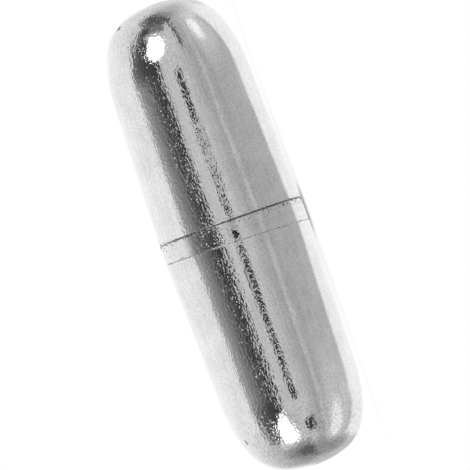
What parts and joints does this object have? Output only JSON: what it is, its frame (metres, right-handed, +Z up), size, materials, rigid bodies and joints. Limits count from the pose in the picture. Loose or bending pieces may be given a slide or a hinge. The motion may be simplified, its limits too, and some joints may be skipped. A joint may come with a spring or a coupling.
{
  "type": "magnetic stir bar",
  "caption": "Capsule-shaped magnetic stir bar: two round-ended metal shells closed by a flush centre ring over a bar magnet, for stirring liquid in a vessel.",
  "frame": {"origin": "mid length of the bar, on its axis", "axes": "+X along the bar towards the tip of the short shell, +Z up as the bar lies"},
  "size_m": [0.0254, 0.0078, 0.0078],
  "materials": {
    "shell_metal": "bright plated metal with fine pits and faint lengthwise draw lines",
    "ring_metal": "duller plated metal with seam residue",
    "magnet": "ground magnet alloy"
  },
  "bodies": {
    "root": {"short_shell": "shell_metal", "long_shell": "shell_metal", "centre_ring": "ring_metal", "bar_magnet": "magnet"}
  },
  "joints": []
}
